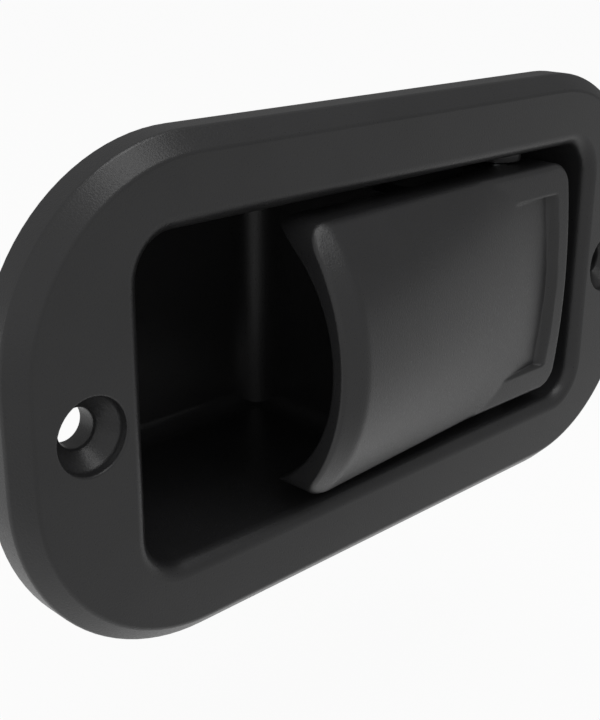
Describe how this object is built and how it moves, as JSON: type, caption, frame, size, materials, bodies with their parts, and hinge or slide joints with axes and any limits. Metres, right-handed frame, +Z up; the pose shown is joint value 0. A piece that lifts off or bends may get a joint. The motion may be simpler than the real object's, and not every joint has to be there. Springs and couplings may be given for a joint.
{
  "type": "paddle latch",
  "caption": "Flush black paddle latch: oval bevelled flange, deep finger cup and an arched hinged paddle that draws back a sprung slam bolt.",
  "frame": {"origin": "middle of the flange's rear face, midway between the two screw holes", "axes": "+X along the flange toward the bolt end, +Y into the panel, +Z up"},
  "size_m": [0.1145, 0.0404, 0.055],
  "materials": {
    "black_nylon": "fine spark-eroded satin",
    "ground_steel": "ground",
    "spring_steel": "drawn wire",
    "zinc": "die-cast, tumbled",
    "plated_steel": "zinc plated"
  },
  "bodies": {
    "housing": {"housing": "black_nylon", "pivot_pin": "ground_steel", "paddle_spring": "spring_steel", "bolt_spring": "spring_steel", "back_cover": "black_nylon", "cover_screws": "plated_steel"},
    "paddle": {"paddle": "black_nylon"},
    "bolt": {"bolt": "zinc"}
  },
  "joints": [
    {"name": "paddle_hinge", "type": "hinge", "parent": "housing", "child": "paddle", "pos_m": [0.027, 0.002, 0], "axis": [0, 0, 1], "range_deg": [0, 40], "stiffness_Nm_per_rad": 0.12, "springref_deg": -34.38, "deforming": ["paddle_spring"]},
    {"name": "bolt_slide", "type": "slide", "parent": "housing", "child": "bolt", "axis": [-1, 0, 0], "range_m": [0, 0.0086], "deforming": ["bolt_spring"]}
  ],
  "couplings": [
    {"joint": "bolt_slide", "follows": "paddle_hinge", "m_per_rad": 0.012248}
  ]
}
